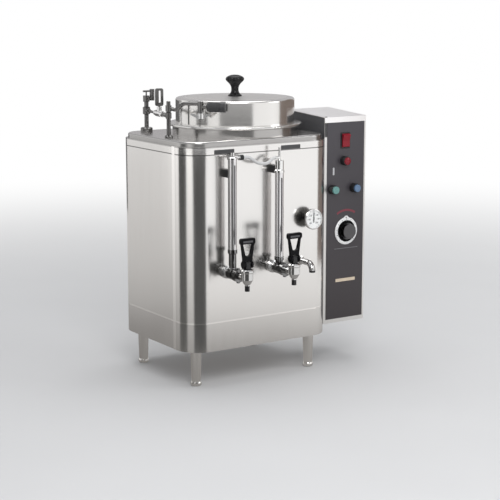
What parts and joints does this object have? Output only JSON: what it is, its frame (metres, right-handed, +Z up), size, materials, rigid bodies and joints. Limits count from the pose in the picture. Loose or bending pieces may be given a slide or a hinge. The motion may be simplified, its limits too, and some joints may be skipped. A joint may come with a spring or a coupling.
{
  "type": "coffee urn",
  "caption": "Electric coffee urn on legs: round-cornered steel body, lidded brew well, front taps with sight gauges, control case on the right side and deck pipework",
  "frame": {"origin": "bottom centre of the whole urn's box, on the surface that the feet stand on", "axes": "+X to the control case on the urn's right as seen from the front, -Y to the taps, +Z up"},
  "size_m": [0.602, 0.499, 0.812],
  "materials": {
    "brushed_steel": "brushed stainless sheet",
    "painted_case": "dark satin enamel",
    "polished_lid": "polished stainless",
    "chrome": "bright plated brass",
    "vent_tubing": "light gray tubing",
    "heater_metal": "dull metal sheath",
    "leg_metal": "satin metal",
    "black_plastic": "glossy black",
    "panel_film": "charcoal film",
    "red_rocker": "translucent red",
    "red_lens": "translucent red",
    "green_button": "green",
    "blue_button": "blue",
    "white_skirt": "white",
    "gauge_glass": "clear",
    "pointer_black": "black",
    "valve_rubber": "soft black"
  },
  "bodies": {
    "urn": {"base_pan": "brushed_steel", "base_skirt": "brushed_steel", "body_wrap": "brushed_steel", "deck_rim": "brushed_steel", "deck_pan": "brushed_steel", "water_jacket": "brushed_steel", "coffee_liner": "brushed_steel", "brew_basket": "brushed_steel", "heating_element": "heater_metal", "leg_front_left": "leg_metal", "leg_front_right": "leg_metal", "leg_back_left": "leg_metal", "leg_back_right": "leg_metal", "shank_left": "chrome", "shank_right": "chrome", "coupling_nuts": "chrome", "faucet_body_left": "chrome", "faucet_body_right": "chrome", "gauge_glasses": "gauge_glass", "gauge_shield_left": "chrome", "gauge_shield_right": "chrome", "gauge_cap_left": "chrome", "gauge_cap_right": "chrome", "gauge_brackets": "black_plastic", "vent_tube": "vent_tubing", "thermometer_case": "chrome", "thermometer_lens": "gauge_glass", "hot_water_spout": "chrome", "riser_pipe": "chrome", "link_pipe": "chrome", "valve_body": "chrome", "swivel_column": "chrome", "control_case": "painted_case", "control_top": "brushed_steel", "control_front": "brushed_steel", "control_overlay": "panel_film", "switch_housing": "black_plastic", "pilot_lens": "red_lens", "button_barrels": "black_plastic", "pump_motor": "black_plastic", "cover_screws": "chrome", "water_inlet": "chrome", "cord_gland": "black_plastic"},
    "lid": {"lid_shell": "polished_lid", "lid_knob": "black_plastic"},
    "arm": {"spray_arm": "chrome", "arm_coupling": "black_plastic"},
    "wing_nut": {"wing_nut": "chrome"},
    "valve_lever": {"valve_lever": "chrome"},
    "tee_handle": {"tee_handle": "chrome"},
    "rocker": {"rocker": "red_rocker"},
    "start_button": {"start_button": "green_button"},
    "stop_button": {"stop_button": "blue_button"},
    "thermostat": {"thermostat_knob": "black_plastic", "thermostat_skirt": "white_skirt"},
    "pointer": {"thermometer_pointer": "pointer_black"},
    "tap_handle_left": {"faucet_handle_left": "black_plastic"},
    "tap_handle_right": {"faucet_handle_right": "black_plastic"},
    "tap_stem_left": {"faucet_stem_left": "valve_rubber"},
    "tap_stem_right": {"faucet_stem_right": "valve_rubber"}
  },
  "joints": [
    {"name": "lid_lift", "type": "slide", "parent": "urn", "child": "lid", "axis": [0, 0, 1], "range_m": [0, 0.2]},
    {"name": "arm_swing", "type": "hinge", "parent": "urn", "child": "arm", "pos_m": [-0.271, 0.0175, 0.733], "axis": [0, 0, 1], "range_deg": [-60, 0]},
    {"name": "wing_nut_turn", "type": "hinge", "parent": "arm", "child": "wing_nut", "pos_m": [-0.20709, -0.04004, 0.713], "axis": [0, 0, 1], "range_deg": [0, 180]},
    {"name": "valve_turn", "type": "hinge", "parent": "urn", "child": "valve_lever", "pos_m": [-0.25863, 0.08808, 0.73], "axis": [0, 0, 1], "range_deg": [0, 90]},
    {"name": "key_turn", "type": "hinge", "parent": "urn", "child": "tee_handle", "pos_m": [-0.2405, 0.1915, 0.755], "axis": [0, 0, 1], "range_deg": [0, 90]},
    {"name": "rocker_tilt", "type": "hinge", "parent": "urn", "child": "rocker", "pos_m": [0.2295, -0.09, 0.63], "axis": [1, 0, 0], "range_deg": [-14, 0]},
    {"name": "start_press", "type": "slide", "parent": "urn", "child": "start_button", "axis": [0, 1, 0], "range_m": [0, 0.004], "stiffness_N_per_m": 350},
    {"name": "stop_press", "type": "slide", "parent": "urn", "child": "stop_button", "axis": [0, 1, 0], "range_m": [0, 0.004], "stiffness_N_per_m": 350},
    {"name": "thermostat_turn", "type": "hinge", "parent": "urn", "child": "thermostat", "pos_m": [0.235, -0.0915, 0.375], "axis": [0, 1, 0], "range_deg": [0, 270]},
    {"name": "pointer_turn", "type": "hinge", "parent": "urn", "child": "pointer", "pos_m": [0.075, -0.1325, 0.431], "axis": [0, 1, 0], "range_deg": [-120, 120]},
    {"name": "tap_tilt_left", "type": "hinge", "parent": "urn", "child": "tap_handle_left", "pos_m": [-0.187, -0.2325, 0.346], "axis": [1, 0, 0], "range_deg": [0, 35], "stiffness_Nm_per_rad": 0.6},
    {"name": "stem_lift_left", "type": "slide", "parent": "urn", "child": "tap_stem_left", "axis": [0, 0, 1], "range_m": [0, 0.0041]},
    {"name": "tap_tilt_right", "type": "hinge", "parent": "urn", "child": "tap_handle_right", "pos_m": [-0.04, -0.2325, 0.346], "axis": [1, 0, 0], "range_deg": [0, 35], "stiffness_Nm_per_rad": 0.6},
    {"name": "stem_lift_right", "type": "slide", "parent": "urn", "child": "tap_stem_right", "axis": [0, 0, 1], "range_m": [0, 0.0041]}
  ],
  "couplings": [
    {"joint": "stem_lift_left", "follows": "tap_tilt_left", "m_per_rad": 0.0065},
    {"joint": "stem_lift_right", "follows": "tap_tilt_right", "m_per_rad": 0.0065}
  ]
}
